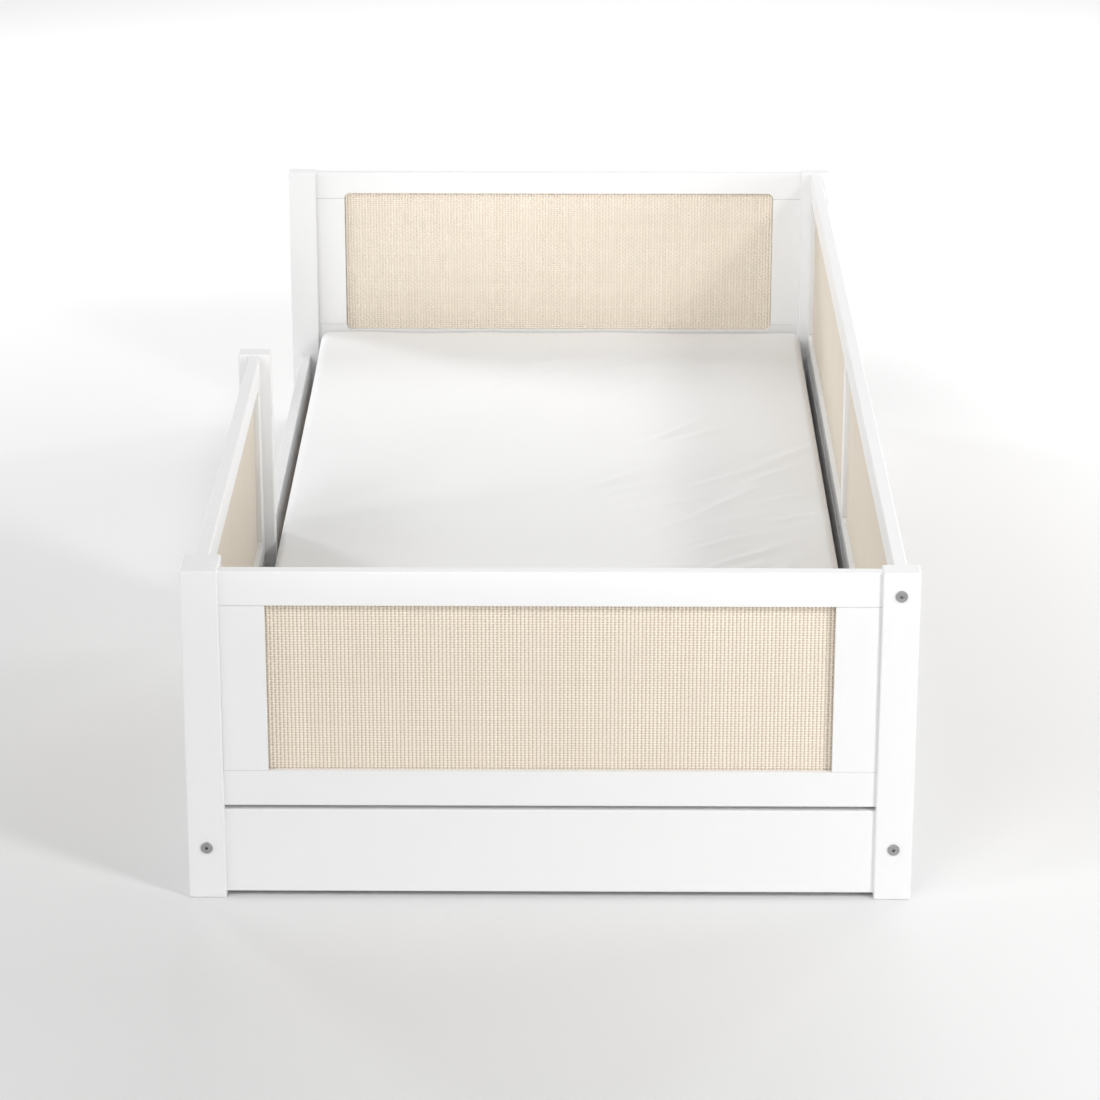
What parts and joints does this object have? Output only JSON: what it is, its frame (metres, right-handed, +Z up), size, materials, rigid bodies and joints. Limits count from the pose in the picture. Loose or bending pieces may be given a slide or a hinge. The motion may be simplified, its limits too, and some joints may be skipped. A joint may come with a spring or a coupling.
{
  "type": "toddler bed",
  "caption": "Low white toddler bed with woven cane end panels, a full-length guard on the right, a half-length guard on the left and a mattress with a fitted sheet.",
  "frame": {"origin": "on the floor, at the middle of the bed's length and width", "axes": "+X to the right seen from the foot end, where the full-length guard is; +Y towards the head; +Z up"},
  "size_m": [0.97, 2.068, 0.47],
  "materials": {
    "white_lacquer": "satin",
    "woven_cane": "matte",
    "bare_pine": "matte",
    "beech_dowel": "matte",
    "textile_strap": "matte",
    "zinc_hardware": "satin",
    "hidden_hardware": "satin",
    "cotton_sheet": "matte",
    "mattress_foam": "matte"
  },
  "bodies": {
    "frame": {"barrel_nuts": "hidden_hardware", "corner_bolts": "zinc_hardware", "dowels": "beech_dowel", "foot_bottom_rail": "white_lacquer", "foot_cane_panel": "woven_cane", "foot_lower_board": "white_lacquer", "foot_post_left": "white_lacquer", "foot_post_right": "white_lacquer", "foot_stile_left": "white_lacquer", "foot_stile_right": "white_lacquer", "foot_top_rail": "white_lacquer", "guard_bolts": "zinc_hardware", "guard_sleeve_nuts": "zinc_hardware", "head_bottom_rail": "white_lacquer", "head_cane_panel": "woven_cane", "head_lower_board": "white_lacquer", "head_post_left": "white_lacquer", "head_post_right": "white_lacquer", "head_stile_left": "white_lacquer", "head_stile_right": "white_lacquer", "head_top_rail": "white_lacquer", "ledger_left": "bare_pine", "ledger_right": "bare_pine", "ledger_screws": "hidden_hardware", "long_guard_bottom_rail": "white_lacquer", "long_guard_cane_foot": "woven_cane", "long_guard_cane_head": "woven_cane", "long_guard_stile_foot": "white_lacquer", "long_guard_stile_head": "white_lacquer", "long_guard_stile_middle": "white_lacquer", "long_guard_top_rail": "white_lacquer", "short_guard_bottom_rail": "white_lacquer", "short_guard_cane": "woven_cane", "short_guard_post_foot": "white_lacquer", "short_guard_post_middle": "white_lacquer", "short_guard_stile_foot": "white_lacquer", "short_guard_stile_middle": "white_lacquer", "short_guard_top_rail": "white_lacquer", "side_rail_left": "white_lacquer", "side_rail_right": "white_lacquer", "slat_01": "bare_pine", "slat_02": "bare_pine", "slat_03": "bare_pine", "slat_04": "bare_pine", "slat_05": "bare_pine", "slat_06": "bare_pine", "slat_07": "bare_pine", "slat_08": "bare_pine", "slat_09": "bare_pine", "slat_10": "bare_pine", "slat_11": "bare_pine", "slat_12": "bare_pine", "slat_13": "bare_pine", "slat_14": "bare_pine", "slat_15": "bare_pine", "slat_screws": "hidden_hardware", "slat_strap_left": "textile_strap", "slat_strap_right": "textile_strap"},
    "mattress": {"fitted_sheet": "cotton_sheet", "mattress_core": "mattress_foam"}
  },
  "joints": [
    {"name": "mattress_lift", "type": "slide", "parent": "frame", "child": "mattress", "axis": [0, 0, 1], "range_m": [0, 0.42]}
  ]
}
